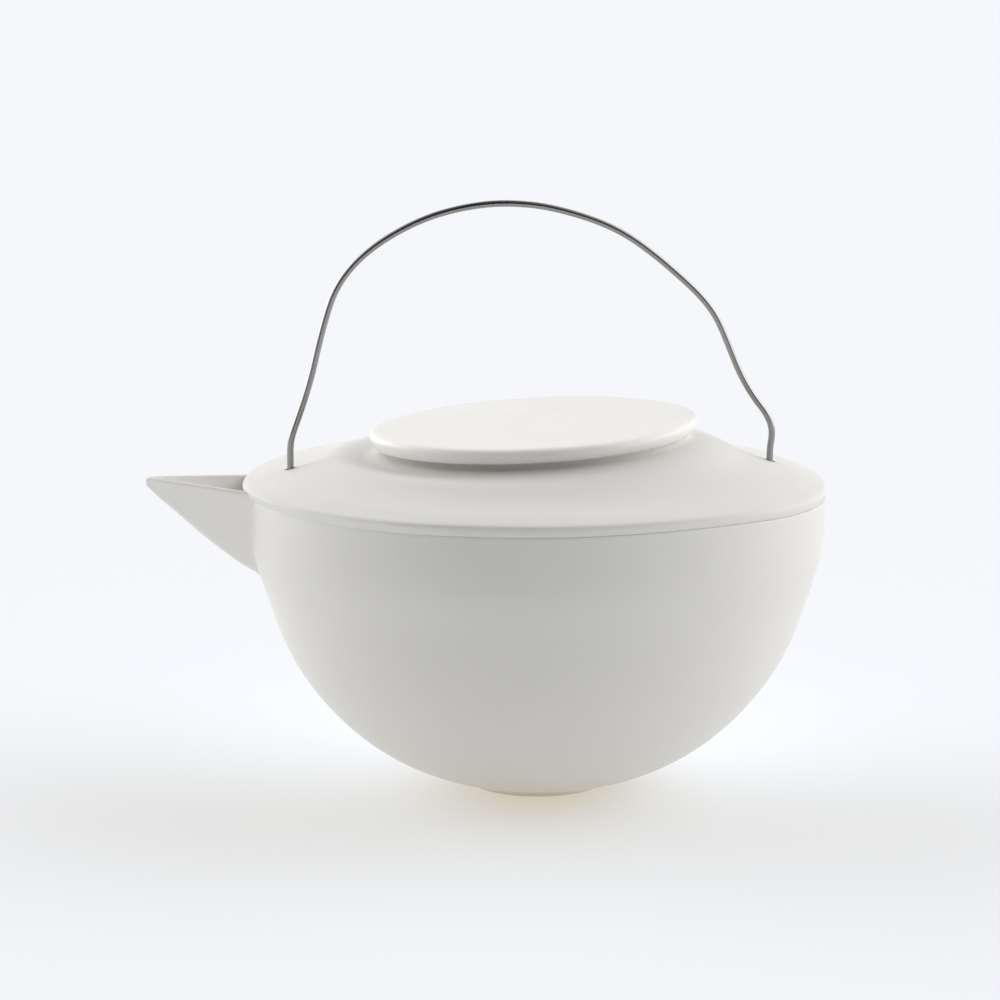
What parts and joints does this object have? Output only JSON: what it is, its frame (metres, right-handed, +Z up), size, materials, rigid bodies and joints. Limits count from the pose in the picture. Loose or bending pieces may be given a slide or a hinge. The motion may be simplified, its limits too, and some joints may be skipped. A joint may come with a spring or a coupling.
{
  "type": "teapot infuser",
  "caption": "Teapot with a hemispherical porcelain body, open V-shaped beak, flat lid, bent wire bail and a lift-out stainless mesh infuser.",
  "frame": {"origin": "centre of the flat foot, on the surface the pot stands on", "axes": "+Z up, spout towards -X, wire bail in the XZ plane"},
  "size_m": [0.2065, 0.177, 0.1795],
  "materials": {
    "biscuit_porcelain": "satin unglazed biscuit porcelain",
    "glazed_porcelain": "clear gloss glaze over white porcelain",
    "steel_wire": "drawn stainless wire, lightly polished",
    "stainless_sheet": "pressed stainless sheet, satin",
    "stainless_mesh": "woven stainless mesh"
  },
  "bodies": {
    "pot": {"pot_bowl_lower": "biscuit_porcelain", "pot_bowl_upper": "biscuit_porcelain", "pot_shoulder": "biscuit_porcelain", "pot_neck": "biscuit_porcelain", "pot_spout": "biscuit_porcelain"},
    "bail": {"bail_handle": "steel_wire"},
    "lid": {"lid": "glazed_porcelain", "lid_flange": "glazed_porcelain"},
    "infuser": {"infuser_collar": "stainless_sheet", "infuser_wall": "stainless_mesh", "infuser_seam_strip": "stainless_sheet", "infuser_hem_ring": "stainless_sheet", "infuser_floor": "stainless_mesh", "infuser_lift_tabs": "stainless_sheet"}
  },
  "joints": [
    {"name": "bail_rock", "type": "hinge", "parent": "pot", "child": "bail", "pos_m": [0, 0, 0.0934], "axis": [1, 0, 0], "range_deg": [-6, 6]},
    {"name": "infuser_lift", "type": "slide", "parent": "pot", "child": "infuser", "axis": [0, 0, 1], "range_m": [0, 0.015]},
    {"name": "lid_lift", "type": "slide", "parent": "infuser", "child": "lid", "axis": [0, 0, 1], "range_m": [0, 0.016]}
  ]
}
